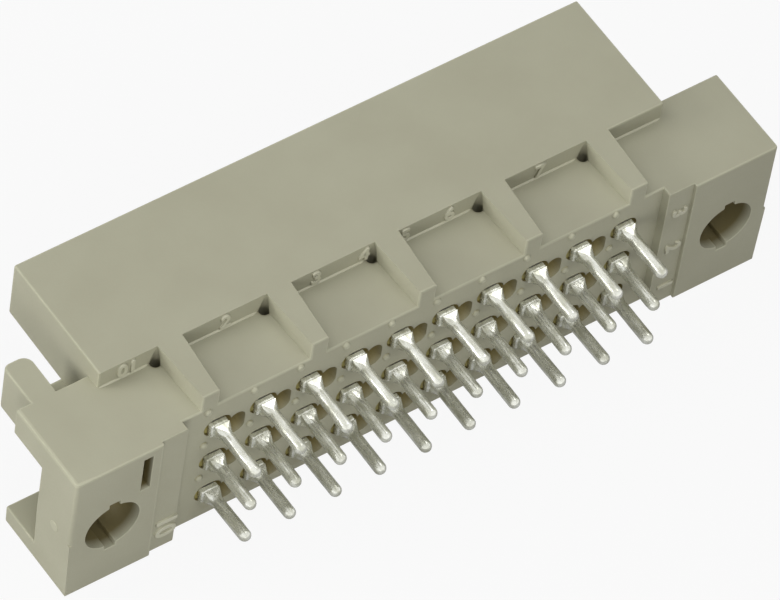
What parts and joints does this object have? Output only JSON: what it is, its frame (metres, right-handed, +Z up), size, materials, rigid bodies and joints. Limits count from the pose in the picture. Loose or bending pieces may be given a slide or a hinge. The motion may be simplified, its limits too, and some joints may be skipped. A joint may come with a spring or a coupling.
{
  "type": "shrouded male pin header",
  "caption": "Moulded board connector: a flanged plastic shroud round rows of contact blades, with straight round solder pins at the back and a nut channel in each flange.",
  "frame": {"origin": "midway between the centres of the two fixing holes, in the plane of the end blocks' rear faces, which rests on the board", "axes": "+X along the contact rows, +Y the way the mating connector comes from, out of the open shroud, +Z up, away from the long side that the connector lies on; the solder pins point to -Y"},
  "size_m": [0.0394, 0.014, 0.0098],
  "materials": {
    "housing": "grey-beige glass-filled plastic, matt as moulded",
    "contacts": "tin-plated copper alloy, bright satin"
  },
  "bodies": {
    "root": {"housing": "housing", "contact_a01": "contacts", "contact_a02": "contacts", "contact_a03": "contacts", "contact_a04": "contacts", "contact_a05": "contacts", "contact_a06": "contacts", "contact_a07": "contacts", "contact_a08": "contacts", "contact_a09": "contacts", "contact_a10": "contacts", "contact_b01": "contacts", "contact_b02": "contacts", "contact_b03": "contacts", "contact_b04": "contacts", "contact_b05": "contacts", "contact_b06": "contacts", "contact_b07": "contacts", "contact_b08": "contacts", "contact_b09": "contacts", "contact_b10": "contacts", "contact_c01": "contacts", "contact_c02": "contacts", "contact_c03": "contacts", "contact_c04": "contacts", "contact_c05": "contacts", "contact_c06": "contacts", "contact_c07": "contacts", "contact_c08": "contacts", "contact_c09": "contacts", "contact_c10": "contacts"}
  },
  "joints": []
}
